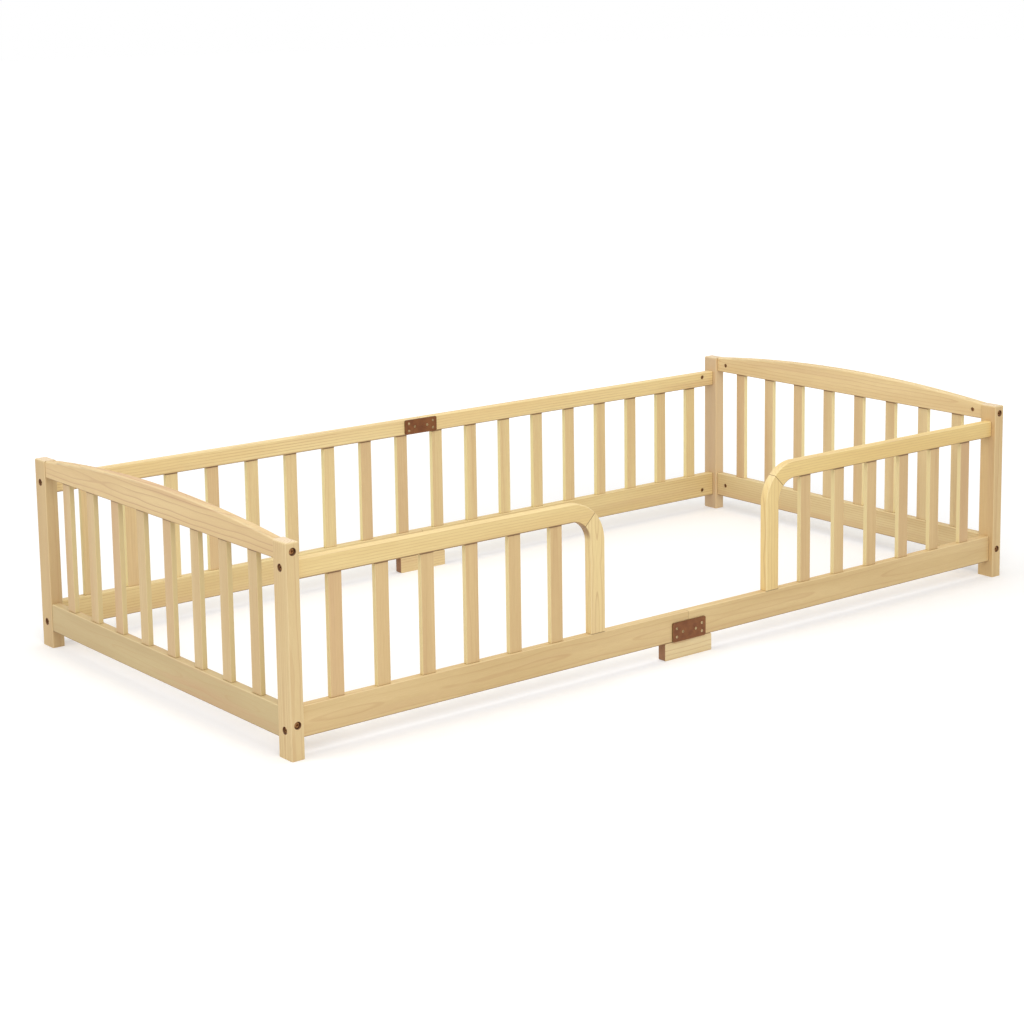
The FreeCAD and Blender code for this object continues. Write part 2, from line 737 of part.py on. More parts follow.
FRONT_PLATE_Y = "side_front-plate_thick"
BACK_UPPER_PLATE_Y = "side_back-plate_thick"
BACK_LOWER_PLATE_Y = "side_back+rail_thick"
plates = [
    plate("front_joint_plate", "plate_high", FRONT_PLATE_Y, "plate_z"),
    plate("back_top_joint_plate", "back_plate_high", BACK_UPPER_PLATE_Y, "back_plate_z"),
    plate("back_bottom_joint_plate", "plate_high", BACK_LOWER_PLATE_Y, "plate_z"),
]

# -------------------------------------------------------------------- hardware
# Made of round pieces; the four of one corner are mirrored to the other posts.

TO_X, TO_Y = Rotation(Vector(0, 1, 0), 90), Rotation(Vector(1, 0, 0), -90)
BACKWARD, UPRIGHT = Rotation(Vector(1, 0, 0), 90), Rotation()


def rod(round_size, long, spot, turn, kind="Part::Cylinder"):
    made = doc.addObject(kind, "rod")
    if kind == "Part::Cylinder":
        made.Radius, made.Height = amount(round_size) / 2, amount(long)
        tie(made, "Radius", "(%s)/2" % round_size)
    else:
        made.Polygon = 6
        made.Circumradius, made.Height = amount(round_size) / 2, amount(long)
        tie(made, "Circumradius", "(%s)/2" % round_size)
    tie(made, "Height", long)
    made.Placement = Placement(Vector(*(amount(t) for t in spot)), turn)
    for axis, text in zip("xyz", spot):
        tie(made, "Placement.Base." + axis, text)
    return made


def join(base, tool):
    made = doc.addObject("Part::Fuse", "joined")
    made.Base, made.Tool = base, tool
    return made


def less(base, tool):
    made = doc.addObject("Part::Cut", "bored")
    made.Base, made.Tool = base, tool
    return made


def moved(spot, along, text):
    """The place spot, further along one axis."""
    return tuple(t + "+" + text if a == along else t for a, t in zip("xyz", spot))


def bolt(spot, along, turn, reach):
    """A bolt from the floor of its counterbore: spot is on the outer face of the post."""
    seat = moved(spot, along, "sink_deep")
    shank = rod("bolt_shank", reach, seat, turn)
    head = rod("bolt_head", "bolt_head_high", moved(seat, along, "(-bolt_head_high)"), turn)
    socket = rod("bolt_socket", "socket_deep",
                 moved(seat, along, "(-bolt_head_high)"), turn, "Part::Prism")
    return less(join(head, shank), socket)


def barrel_nut(spot, turn, spot_bore, turn_bore):
    body = rod("nut_round", "nut_long", spot, turn)
    return less(body, rod("nut_bore", "nut_round*2", spot_bore, turn_bore))


def group(label, solids):
    made = doc.addObject("Part::Compound", label)
    made.Label = label
    made.Links = solids
    return made


def in_four(label, solids):
    """The solids of one corner, and their mirror images at the other three."""
    corner = group(label + "_corner", solids)
    pair = doc.addObject("Part::Mirroring", label + "_pair")
    pair.Source, pair.Normal = corner, Vector(1, 0, 0)
    front = group(label + "_front", [corner, pair])
    back = doc.addObject("Part::Mirroring", label + "_back")
    back.Source, back.Normal = front, Vector(0, 1, 0)
    return group(label, [front, back])


side_x, side_y = "-half_length", "-half_width+post_bolt_y"
end_x, end_y = "-half_length+post_x/2", "-half_width"
side_reach = "post_x-sink_deep+nut_side+past_nut"
end_reach = "post_y-sink_deep+nut_end+past_nut"
bolts, nuts, end_dowels = [], [], []
for z, dowel_z in (("floor_gap+side_bolt_up", "floor_gap+side_dowel_up"),
                   ("upper_low+upper_bolt_up", "upper_low+upper_dowel_up")):
    bolts.append(bolt((side_x, side_y, z), "x", TO_X, side_reach))
    nut_x = "-half_side+nut_side"
    nuts.append(barrel_nut((nut_x, "side_front+rail_thick-nut_below-nut_long", z), TO_Y,
                           (nut_x + "-nut_round", side_y, z), TO_X))
    end_dowels.append(rod("dowel_round", "dowel_in_post+dowel_in_rail",
                          ("-half_side-dowel_in_post", side_y, dowel_z), TO_X))
for z, dowel_z in (("floor_gap+end_bolt_up", "floor_gap+end_dowel_up"),
                   ("arch_low+arch_bolt_up", "arch_low+arch_dowel_up")):
    bolts.append(bolt((end_x, end_y, z), "y", TO_Y, end_reach))
    nut_y = "-end_clear/2+nut_end"
    nut_low = "-half_length+end_inset+rail_thick-nut_below-nut_long"
    nuts.append(barrel_nut((nut_low, nut_y, z), TO_X,
                           (end_x, nut_y + "-nut_round", z), TO_Y))
    end_dowels.append(rod("dowel_round", "dowel_in_post+dowel_in_rail",
                          (end_x, "-end_clear/2-dowel_in_post", dowel_z), TO_Y))

plate_screws = []


def screws(high, y, z, turn, forward):
    """Pan-head screws of a plate; y is the face the heads bear on."""
    for across, up in screw_spots(high, "0"):
        spot = (across, y, z + "+" + up)
        head = rod("screw_head", "screw_head_high",
                   moved(spot, "y", "%s*screw_head_high" % -forward), turn)
        plate_screws.append(join(head, rod("screw_shank", "screw_long", spot, turn)))


screws("plate_high", FRONT_PLATE_Y, "plate_z", TO_Y, 1)
screws("back_plate_high", BACK_UPPER_PLATE_Y, "back_plate_z", TO_Y, 1)
screws("plate_high", BACK_LOWER_PLATE_Y + "+plate_thick", "plate_z", BACKWARD, -1)

joint_dowels = []
for y in ("side_front+rail_thick/2", "side_back+rail_thick/2"):
    for up in ("joint_dowel_low", "joint_dowel_high"):
        joint_dowels.append(rod("dowel_round", "2*joint_dowel_half",
                                ("-joint_dowel_half", y, "floor_gap+" + up), TO_X))
    for sign in ("-", ""):
        joint_dowels.append(rod("dowel_round", "block_dowel_down+block_dowel_up",
                                (sign + "block_dowel_x", y, "floor_gap-block_dowel_down"),
                                UPRIGHT))
joint_dowels.append(rod("dowel_round", "2*joint_dowel_half",
                        ("-joint_dowel_half", "side_back+rail_thick/2",
                         "upper_low+upper_joint_dowel"), TO_X))

guard_dowels = []
for sign, side in (("-", -1), ("", 1)):
    middle = "(entry_wide/2+upper_height/2)"
    for shift in ("-foot_dowel_apart/2", "+foot_dowel_apart/2"):
        guard_dowels.append(rod("dowel_round", "foot_dowel_down+foot_dowel_up",
                                ("%d*(%s%s)" % (side, middle, shift),
                                 "side_front+rail_thick/2", "bottom_top-foot_dowel_down"),
                                UPRIGHT))
    root = "(mitre_middle+%s*mitre_dowel_half)*mitre_share"
    at_x = "%d*(entry_wide/2+corner_outer-%s)" % (side, root % "(-1)")
    at_z = "upper_low+corner_z+" + root % "1"
    guard_dowels.append(rod("dowel_round", "2*mitre_dowel_half",
                            (at_x, "side_front+rail_thick/2", at_z),
                            Rotation(Vector(0, 1, 0), -side * (MITRE + 90))))

hardware = [
    in_four("rail_bolts", bolts), in_four("barrel_nuts", nuts),
    in_four("rail_end_dowels", end_dowels), group("plate_screws", plate_screws),
    group("joint_dowels", joint_dowels), group("guard_dowels", guard_dowels),
]

# --------------------------------------------------------------- check and write

doc.recompute()
for thing in doc.Objects:
    if "Invalid" in thing.State or "Error" in thing.State:
        raise ValueError("%s is not valid: %s" % (thing.Label, thing.State))
nodes = posts + rails + guards + slats + back_rows + blocks + plates + hardware
for node in nodes:
    if node.Shape.isNull() or not node.Shape.isValid() or node.Shape.Volume < 1:
        raise ValueError("%s has no sound shape" % node.Label)
    node.Shape.exportStep("parts/%s.step" % node.Label)
print("wrote", len(nodes), "sub-parts")
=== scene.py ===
"""Looks of a low floor bed of planed pine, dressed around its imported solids."""

import math
import random

import bmesh
import bpy
from mathutils import Matrix, Vector


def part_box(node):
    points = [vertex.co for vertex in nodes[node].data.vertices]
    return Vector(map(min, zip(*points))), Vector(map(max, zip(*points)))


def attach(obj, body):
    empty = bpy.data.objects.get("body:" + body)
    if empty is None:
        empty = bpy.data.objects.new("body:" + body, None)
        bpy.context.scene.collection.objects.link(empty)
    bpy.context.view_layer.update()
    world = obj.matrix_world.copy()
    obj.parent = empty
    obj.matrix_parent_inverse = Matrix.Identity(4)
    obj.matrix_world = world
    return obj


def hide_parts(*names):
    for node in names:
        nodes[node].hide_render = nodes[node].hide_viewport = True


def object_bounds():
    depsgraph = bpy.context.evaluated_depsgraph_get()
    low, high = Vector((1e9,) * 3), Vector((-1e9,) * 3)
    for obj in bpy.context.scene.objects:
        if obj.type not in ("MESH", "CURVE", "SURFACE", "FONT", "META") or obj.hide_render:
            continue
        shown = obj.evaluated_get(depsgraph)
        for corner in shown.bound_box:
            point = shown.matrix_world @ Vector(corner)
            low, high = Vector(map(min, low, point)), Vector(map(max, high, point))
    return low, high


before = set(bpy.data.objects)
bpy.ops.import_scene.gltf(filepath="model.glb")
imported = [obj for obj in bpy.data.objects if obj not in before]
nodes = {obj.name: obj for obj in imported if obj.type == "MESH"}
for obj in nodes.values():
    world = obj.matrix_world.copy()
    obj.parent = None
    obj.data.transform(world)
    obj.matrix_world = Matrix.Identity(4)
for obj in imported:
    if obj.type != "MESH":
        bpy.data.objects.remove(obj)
solid_box = [list(corner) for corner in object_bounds()]
MM = 0.001


# ------------------------------------------------------------- shader sums


class Value:
    """A socket of a finish that can be used in sums."""

    def __init__(self, finish, socket):
        self.finish = finish
        self.socket = socket

    def sum(self, operation, *terms):
        return self.finish.node("ShaderNodeMath", {"operation": operation}, list(terms))

    def __add__(self, other):
        return self.sum("ADD", self, other)

    def __sub__(self, other):
        return self.sum("SUBTRACT", self, other)

    def __mul__(self, other):
        return self.sum("MULTIPLY", self, other)

    def __truediv__(self, other):
        return self.sum("DIVIDE", self, other)

    def __pow__(self, other):
        return self.sum("POWER", self, other)

    def __rsub__(self, other):
        return self.sum("SUBTRACT", other, self)

    __radd__ = __add__
    __rmul__ = __mul__

    def __abs__(self):
        return self.sum("ABSOLUTE", self)

    def floor(self):
        return self.sum("FLOOR", self)

    def part(self):
        return self.sum("FRACT", self)

    def most(self, other):
        return self.sum("MAXIMUM", self, other)

    def eased(self, low, high, from_value=0.0, to_value=1.0):
        """A smooth step from one value to another as this one goes from low to high."""
        return self.finish.node(
            "ShaderNodeMapRange", {"interpolation_type": "SMOOTHSTEP"},
            {"Value": self, "From Min": low, "From Max": high,
             "To Min": from_value, "To Max": to_value},
        )


class Finish:
    """The nodes of one new material, or of the world."""

    def __init__(self, owner):
        self.owner = owner
        owner.use_nodes = True
        self.tree = owner.node_tree
        self.tree.nodes.clear()

    @classmethod
    def named(cls, name):
        return cls(bpy.data.materials.new(name))

    def end(self, shader, kind="ShaderNodeOutputMaterial"):
        """Link a shader's socket to a new output."""
        self.tree.links.new(shader, self.tree.nodes.new(kind).inputs[0])

    def node(self, kind, settings=None, inputs=None, out=0):
        made = self.tree.nodes.new(kind)
        for word, setting in (settings or {}).items():
            if word == "stops":
                self.set_stops(made.color_ramp, setting)
            else:
                setattr(made, word, setting)
        pairs = inputs.items() if isinstance(inputs, dict) else enumerate(inputs or [])
        for place, given in pairs:
            if isinstance(given, Value):
                self.tree.links.new(given.socket, made.inputs[place])
            else:
                made.inputs[place].default_value = given
        return Value(self, made.outputs[out])

    def set_stops(self, ramp, stops):
        while len(ramp.elements) < len(stops):
            ramp.elements.new(0.5)
        for element, (place, grey) in zip(ramp.elements, stops):
            element.position = place
            element.color = (grey, grey, grey, 1)

    def vector(self, x, y, z):
        return self.node("ShaderNodeCombineXYZ", None, [x, y, z])

    def noise(self, place, scale, detail=2.0, rough=0.5):
        return self.node(
            "ShaderNodeTexNoise", None,
            {"Vector": place, "Scale": scale, "Detail": detail, "Roughness": rough},
        )

    def blend(self, share, first, second, kind="MIX"):
        """A colour between two others."""
        return self.node(
            "ShaderNodeMix", {"data_type": "RGBA", "blend_type": kind},
            {0: share, 6: first, 7: second}, out=2,
        )

    def place_mm(self):
        """The place on the piece, in millimetres, as three numbers."""
        where = self.node("ShaderNodeTexCoord", out="Object")
        parts = self.node("ShaderNodeSeparateXYZ", None, [where]).socket.node
        return [Value(self, parts.outputs[i]) * 1000 for i in range(3)]

    def normal(self):
        """The way the surface faces, as three numbers from -1 to 1."""
        normal = self.node("ShaderNodeTexCoord", out="Normal")
        parts = self.node("ShaderNodeSeparateXYZ", None, [normal]).socket.node
        return [Value(self, parts.outputs[i]) for i in range(3)]

    def surface(self, colour, roughness, height=None, relief=0.1, **constant):
        shader = self.tree.nodes.new("ShaderNodeBsdfPrincipled")
        links = {"Base Color": colour, "Roughness": roughness}
        if height is not None:
            links["Normal"] = self.node(
                "ShaderNodeBump", None,
                {"Height": height, "Strength": 1.0, "Distance": relief * MM}, out="Normal",
            )
        for place, given in links.items():
            if isinstance(given, Value):
                self.tree.links.new(given.socket, shader.inputs[place])
            else:
                shader.inputs[place].default_value = given
        for word, given in constant.items():
            shader.inputs[word.replace("_", " ").title()].default_value = given
        self.end(shader.outputs[0])
        return self.owner


def colour(red, green, blue):
    """A colour seen on a screen, 0 to 255, as the light values that a material takes."""
    return tuple(
        (c / 255 / 12.92 if c / 255 <= 0.04045 else ((c / 255 + 0.055) / 1.055) ** 2.4)
        for c in (red, green, blue)
    ) + (1.0,)


# ------------------------------------------------------------------- timber

AXES = {"x": 0, "y": 1, "z": 2}
LATE_WOOD = (190, 142, 96)
ROSE = (208, 168, 130)
# Paler colour of the rounded edges: sanded wear and a painted highlight.
SANDED_AND_HIGHLIGHT = (248, 231, 184)
# Dark joint lines; at the slats' tops they are painted shadow of the rails above.
JOINT_LINE_AND_SHADOW = (118, 74, 38)
# Painted shade inside the bolt bores.
BORE_SHADE = (122, 74, 46)
# Painted shade for the faces that look down.
UNDERSIDE_SHADE = (138, 94, 56)
FIBRE = (190, 150, 96)
END_PORES = (168, 122, 76)
SAWN_END = (243, 222, 188)
# Grey of a growth ring from its early wood to its late wood.
RING_STOPS = [(0.0, 0.0), (0.6, 0.04), (0.82, 0.3), (0.9, 1.0), (0.96, 0.9), (1.0, 0.0)]
# The painted shade of a bore fades between two radii, and the dark of a seam from this
# share of its half width; a seam is a dark joint line, and at the slats' tops painted
# shadow. Both cover the wood with this much of their colour.
BORE_INNER, BORE_OUTER = 7.4, 7.9
SEAM_CORE = 0.4
SHADE_AND_JOINT_SHARE = 0.85


def on_seam(spot, seam):
    """1 on a seam and 0 away from it. A seam is (x, y, z, offset, half width).

    It is the plane where x|X| + y|Y| + z Z equals the offset, as the bed is alike on
    both sides.
    """
    x, y, z, offset, half = seam
    away = abs(abs(spot[0]) * x + abs(spot[1]) * y + spot[2] * z - offset)
    return away.eased(half * SEAM_CORE, half, 1.0, 0.0)


def in_bore(spot, first, second):
    """1 inside a round hole; first and second are (axis, |distance|) of its axis line."""
    across = abs(spot[AXES[first[0]]]) - first[1]
    up = spot[AXES[second[0]]] - second[1]
    return ((across * across + up * up) ** 0.5).eased(BORE_INNER, BORE_OUTER, 1.0, 0.0)


def timber(name, seed, along, wide, deep, pale, dark, end=SAWN_END, row=None,
           side=None, seams=(), bores=(), ring=4.5, swing=3.0, flat=18.0, aside=0.0,
           wave=0.0016, figure=1.0, vein=LATE_WOOD, rose=0.3, middle=(0.0, 0.0)):
    """Planed pine. The grain runs along one axis; wide and deep are the board's others.

    The growth rings are shells ring millimetres thick round a pith. It lies flat
    millimetres behind the board's middle and aside millimetres across from it, and
    swings along the board, the faster the larger wave is. A pith behind the middle
    draws arched figure, one far aside draws straight lines. middle is the board's own,
    across its width and through its depth, and figure is how strong the rings are.
    row is (pitch, start) where one finish serves a row of slats, each its own board.
    side is the colour of the narrow faces where it differs, and rose the share of
    pinkish stain.
    """
    rng = random.Random(seed)
    wood = Finish.named(name)
    spot = wood.place_mm()
    normal = wood.normal()
    face = [abs(part) for part in normal]
    run, a, d = (spot[AXES[axis]] for axis in (along, wide, deep))
    d = d - middle[1]
    if row:
        pitch, start = row
        number = ((a - start) / pitch).floor()
        tone, blush = (
            wood.node("ShaderNodeTexWhiteNoise", {"noise_dimensions": "1D"},
                      {"W": number * step + seed * 7.3 + step})
            for step in (1.0, 3.1)
        )
        board = tone * 400 + seed
        across = (a - start) - number * pitch - pitch / 2
        pith_a = blush * 70 - 35
        pith_d = tone * 16 + flat
    else:
        board = rng.uniform(0, 400)
        across = a
        pith_a = middle[0] + aside + rng.uniform(-4, 4)
        pith_d = flat + rng.uniform(-2, 3)

    def streaks(lengthwise, crosswise, offset=0, detail=2.0, rough=0.5):
        """Noise drawn out along the grain, at so many waves to the millimetre."""
        at = run * lengthwise + board
        if offset:
            at = at + offset
        return wood.noise(wood.vector(at, a * crosswise, d * crosswise), 1.0, detail, rough)

    sway = streaks(wave, 0.001, detail=1.5) - 0.5
    wander = streaks(0.005, 0.004, 31) - 0.5
    ring_a = across - pith_a + wander * (swing * 1.2)
    ring_d = d + pith_d + sway * (swing * 6.0)
    reach = (ring_a * ring_a + ring_d * ring_d) ** 0.5
    shells = (reach + streaks(0.006, 0.06) * 2.0) / ring
    late = wood.node("ShaderNodeValToRGB", {"stops": RING_STOPS}, [shells.part()])
    lines = late * streaks(0.003, 0.03, 9).eased(0.3, 0.7, 0.35, 1.0)
    fibre = streaks(0.03, 1.4, detail=4.0, rough=0.65)
    cloud = streaks(0.002, 0.02, 3)
    stain = streaks(0.0015, 0.04, 60, detail=1.5)

    body = wood.blend(cloud.eased(0.25, 0.75), colour(*pale), colour(*dark))
    body = wood.blend(stain.eased(0.5, 0.75, 0.0, rose), body, colour(*ROSE))
    if row:
        body = wood.blend(tone * 0.45, body, colour(*dark))
        body = wood.blend(blush.eased(0.45, 1.0, 0.0, 0.45), body, colour(*ROSE))
    body = wood.blend(lines * (0.5 * figure), body, colour(*vein))
    body = wood.blend(fibre.eased(0.3, 0.72, 0.26, 0.0), body, colour(*FIBRE))
    if side:
        narrow = wood.blend(lines * 0.2, colour(*side), colour(*pale))
        body = wood.blend(face[AXES[wide]].eased(0.5, 0.9), body, narrow)
    across_grain = face[AXES[along]].eased(0.6, 0.95)
    pores = wood.noise(wood.vector(*(axis * 2.2 for axis in spot)), 1.0, 3.0)
    cut_end = wood.blend(late * 0.4 + pores * 0.25, colour(*end), colour(*END_PORES))
    shown = wood.blend(across_grain, body, cut_end)
    # Rounded edges turn paler: partly sanded wear, partly a painted highlight along them.
    corner = 1 - face[0].most(face[1]).most(face[2])
    worn_and_highlight = corner.eased(0.02, 0.2, 0.0, 0.3)
    shown = wood.blend(worn_and_highlight, shown, colour(*SANDED_AND_HIGHLIGHT))
    # Painted shade: faces that look down turn darker brown, as less light reaches them.
    painted_underside = (normal[2] * -1).eased(0.02, 0.5, 0.0, 0.75)
    shown = wood.blend(painted_underside, shown, colour(*UNDERSIDE_SHADE))
    # Seams darken as joint lines; those at the slats' tops are painted shadow cast by the
    # rails.
    joint_and_shadow = None
    for seam in seams:
        line = on_seam(spot, seam)
        joint_and_shadow = line if joint_and_shadow is None else joint_and_shadow.most(line)
    if joint_and_shadow is not None:
        shown = wood.blend(joint_and_shadow * SHADE_AND_JOINT_SHARE, shown, colour(*JOINT_LINE_AND_SHADOW))
    # Painted shade: the wood inside and just round the bolt bores turns dark brown.
    for bore in bores:
        shown = wood.blend(in_bore(spot, *bore) * SHADE_AND_JOINT_SHARE, shown, colour(*BORE_SHADE))
    roughness = 0.5 + fibre * 0.16 + across_grain * 0.2 - worn_and_highlight * 0.08
    height = fibre * 0.5 + lines * 0.35 + across_grain * pores * 1.2
    return wood.surface(shown, roughness, height, relief=0.06)


# ------------------------------------------------------------------- metals


def coated_brown():
    """Brown stoved coating with edges paler from wear, a little mottled."""
    coat = Finish.named("joint_plate_brown")
    spot = coat.place_mm()
    place = coat.vector(*spot)
    grain = coat.noise(place, 0.9, 4.0, 0.6)
    patch = coat.noise(place, 0.06, 3.0)
    base = coat.blend(patch.eased(0.3, 0.7, 0.0, 1.0), colour(118, 66, 28), colour(139, 86, 42))
    base = coat.blend(grain.eased(0.35, 0.75, 0.0, 0.35), base, colour(94, 47, 23))
    rim = abs(coat.normal()[1]).eased(0.5, 0.98, 1.0, 0.0)
    shown = coat.blend(rim * 0.8, base, colour(116, 88, 50))
    return coat.surface(shown, 0.42 + grain * 0.2, grain, relief=0.05, metallic=0.25)


def plated(name, bright, dull, relief=0.03, shine=0.32):
    """Plated steel with dull patches and fine turning marks."""
    metal = Finish.named(name)
    place = metal.vector(*metal.place_mm())
    patch = metal.noise(place, 0.25, 4.0, 0.6)
    fine = metal.noise(place, 2.6, 3.0)
    shown = metal.blend(patch.eased(0.3, 0.7, 0.0, 1.0), colour(*bright), colour(*dull))
    return metal.surface(shown, shine + fine * 0.2, fine, relief=relief, metallic=1.0)


def dress(material, names):
    for name in names:
        piece = nodes[name]
        piece.data.materials.clear()
        piece.data.materials.append(material)


def box_middle(name):
    low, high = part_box(name)
    return (low + high) / 2 / MM


# Places on the bed in millimetres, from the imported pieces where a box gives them.
BOTTOM_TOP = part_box("front_bottom_rail_left")[1].z / MM
UPPER_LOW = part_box("back_top_rail_left")[0].z / MM
ARCH_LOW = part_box("left_end_arch_rail")[0].z / MM
LONG_END = -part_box("front_bottom_rail_left")[0].x / MM
SHORT_END = -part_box("left_end_bottom_rail")[0].y / MM
HALF_LONG, HALF_SHORT = solid_box[1][0] / MM, solid_box[1][1] / MM
HALF_POST_X, HALF_POST_Y = 14, 22
BOLT_IN_X, BOLT_IN_Y = HALF_LONG - HALF_POST_X, HALF_SHORT - HALF_POST_Y
SIDE_BOLTS, END_BOLTS = (54, 357), (66, 388)
NUT_IN_SIDE, NUT_IN_END = 38, 30
NUT_X, NUT_Y = LONG_END - NUT_IN_SIDE, SHORT_END - NUT_IN_END
HALF_ENTRY, GUARD_HIGH, SLANT = 225.5, 37, 0.7071
MITRE = (SLANT, 0, SLANT, (HALF_ENTRY + UPPER_LOW + GUARD_HIGH) * SLANT, 0.9)

POST_BORES = [(("y", BOLT_IN_Y), ("z", z)) for z in SIDE_BOLTS]
POST_BORES += [(("x", BOLT_IN_X), ("z", z)) for z in END_BOLTS]
# Seams: dark joint lines, where rails meet posts partly painted shade of the joint's gap.
LONG_SEAMS = [(1, 0, 0, LONG_END, 1.1), (1, 0, 0, 0, 0.4)]
GUARD_SEAMS = [(1, 0, 0, LONG_END, 1.1), MITRE]
UPRIGHT_SEAMS = [(0, 0, 1, BOTTOM_TOP, 1.0), MITRE]
END_SEAMS = [(0, 1, 0, SHORT_END, 1.1)]
# The wide lines just below the upper and arch rails are painted shadow on the slats' tops.
SIDE_SLAT_SEAMS = [(0, 0, 1, BOTTOM_TOP, 0.5), (0, 0, 1, UPPER_LOW - 1, 2.2)]
END_SLAT_SEAMS = [(0, 0, 1, BOTTOM_TOP, 0.5), (0, 0, 1, ARCH_LOW - 1, 2.2)]

# End grain of the centre blocks: its own darker tone and painted shade.
BLOCK_END_SHADED = (156, 114, 84)
# The boards, by name: seed, grain, width and depth axes,
# paler and deeper colour, and what differs from the usual.
BOARDS = {
    "post_front_left": (11, "zyx", (231, 206, 154), (221, 193, 140),
                        dict(ring=6, flat=9, rose=0.15)),
    "post_front_right": (12, "zyx", (229, 201, 147), (216, 185, 132), dict(aside=30)),
    "post_back_left": (13, "zyx", (216, 189, 138), (204, 173, 126), dict(aside=34, rose=0.7)),
    "post_back_right": (14, "zyx", (221, 195, 155), (207, 178, 141),
                        dict(aside=30, side=(226, 196, 150))),
    "guard_top_rail_left": (31, "xzy", (244, 219, 155), (234, 205, 141), {}),
    "guard_top_rail_right": (32, "xzy", (248, 221, 149), (238, 206, 135), {}),
    "guard_upright_left": (33, "zxy", (250, 228, 168), (241, 215, 154), {}),
    "guard_upright_right": (34, "zxy", (247, 220, 153), (240, 208, 139), {}),
    "left_end_arch_rail": (71, "yzx", (235, 208, 155), (223, 192, 140),
                           dict(ring=11, figure=1.5, vein=(186, 140, 108), rose=0.6)),
    "left_end_bottom_rail": (72, "yzx", (210, 190, 141), (199, 175, 128),
                             dict(figure=0.5, rose=0.6)),
    "right_end_arch_rail": (73, "yzx", (244, 219, 165), (231, 203, 150),
                            dict(rose=0.4, figure=0.8)),
    "right_end_bottom_rail": (74, "yzx", (230, 210, 159), (217, 193, 142),
                              dict(ring=6, aside=60, swing=3, figure=1.3)),
    "front_bottom_rail_left": (91, "xzy", (230, 203, 149), (217, 188, 133), {}),
    "front_bottom_rail_right": (92, "xzy", (231, 204, 149), (216, 186, 131), {}),
    "back_bottom_rail_left": (93, "xzy", (242, 220, 160), (228, 202, 143), {}),
    "back_bottom_rail_right": (94, "xzy", (242, 220, 160), (228, 202, 143), {}),
    "back_top_rail_left": (95, "xzy", (252, 230, 170), (244, 217, 155), {}),
    "back_top_rail_right": (96, "xzy", (251, 228, 166), (243, 213, 151), {}),
    "front_centre_block": (97, "xzy", (240, 219, 169), (230, 204, 153), dict(end=BLOCK_END_SHADED)),
    "back_centre_block": (98, "xzy", (246, 223, 167), (234, 206, 151), dict(end=BLOCK_END_SHADED)),
}
KINDS = {
    "post": dict(ring=4.4, swing=4, flat=14, bores=POST_BORES),
    "guard_top": dict(ring=5.5, aside=38, figure=0.9, seams=GUARD_SEAMS),
    "guard_upright": dict(ring=8, swing=8, flat=17, aside=3, wave=0.005, figure=0.9,
                          seams=UPRIGHT_SEAMS),
    "left_end": dict(ring=9, swing=8, flat=14, wave=0.0036, seams=END_SEAMS),
    "right_end": dict(ring=8, swing=7, flat=16, wave=0.003, seams=END_SEAMS),
    "front_bottom": dict(ring=12, swing=9, flat=18, wave=0.0026, figure=0.7, seams=LONG_SEAMS),
    "back": dict(ring=6.5, aside=60, figure=1.4, seams=LONG_SEAMS),
    "front_centre": dict(ring=9, aside=14, flat=20, wave=0.004),
}
for name, (seed, axes, pale, dark, own) in BOARDS.items():
    usual = next(words for kind, words in KINDS.items() if name.startswith(kind))
    middle = [box_middle(name)[AXES[axis]] for axis in axes[1:]]
    words = dict(usual, middle=middle, **own)
    dress(timber("wood_" + name, seed, *axes, pale, dark, **words), [name])


def slat_row(name, members, wide, deep, seed, face, side, seams, pitch, start):
    """One finish for a row of slats. face is its paler and its deeper colour."""
    depth = box_middle(members[0])[AXES[deep]]
    dress(timber(name, seed, "z", wide, deep, *face, row=(pitch, start), side=side,
                 seams=seams, figure=0.5, middle=(0.0, depth)), members)


def pitch_of(members, axis):
    middles = sorted(box_middle(member)[axis] for member in members)
    pitch = (middles[-1] - middles[0]) / (len(middles) - 1)
    return pitch, middles[0] - pitch / 2


GUARD_FACE = (234, 205, 150), (215, 184, 132)
GUARD_SIDE = {"left": (240, 220, 164), "right": (233, 213, 158)}
END_FACE = {"left": ((226, 204, 157), (213, 184, 135)),
            "right": ((239, 219, 169), (216, 188, 139))}
# Narrow faces of the end slats; the left row's colour is darker with painted shade of the arch.
END_SIDE_TONE_AND_SHADE = {"left": (220, 198, 145), "right": (251, 232, 173)}
for hand, seed in (("left", 5), ("right", 8)):
    guard = [n for n in nodes if n.startswith("guard_slat_" + hand)]
    slat_row("wood_guard_slats_" + hand, guard, "x", "y", seed, GUARD_FACE,
             GUARD_SIDE[hand], SIDE_SLAT_SEAMS, *pitch_of(guard, 0))
    ends = [n for n in nodes if n.startswith(hand + "_end_slat")]
    slat_row("wood_end_slats_" + hand, ends, "y", "x", seed + 7, END_FACE[hand],
             END_SIDE_TONE_AND_SHADE[hand], END_SLAT_SEAMS, *pitch_of(ends, 1))

BACK_SLATS = 18
slat_low, slat_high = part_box("guard_slat_left_1")
slat_wide = (slat_high.x - slat_low.x) / MM
low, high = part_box("back_slats_left")[0].x / MM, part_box("back_slats_right")[1].x / MM
back_pitch = (high - low - slat_wide) / (BACK_SLATS - 1)
slat_row("wood_back_slats", ["back_slats_left", "back_slats_right"], "x", "y", 23,
         ((247, 226, 165), (228, 201, 149)), (244, 226, 164), SIDE_SLAT_SEAMS, back_pitch,
         low + slat_wide / 2 - back_pitch / 2)
dress(timber("wood_dowels", 77, "x", "z", "y", (214, 180, 130), (196, 158, 108), ring=2.0),
      ["rail_end_dowels", "joint_dowels", "guard_dowels"])
dress(coated_brown(), ["front_joint_plate", "back_top_joint_plate", "back_bottom_joint_plate"])


# ----------------------------------------------------------------- fittings


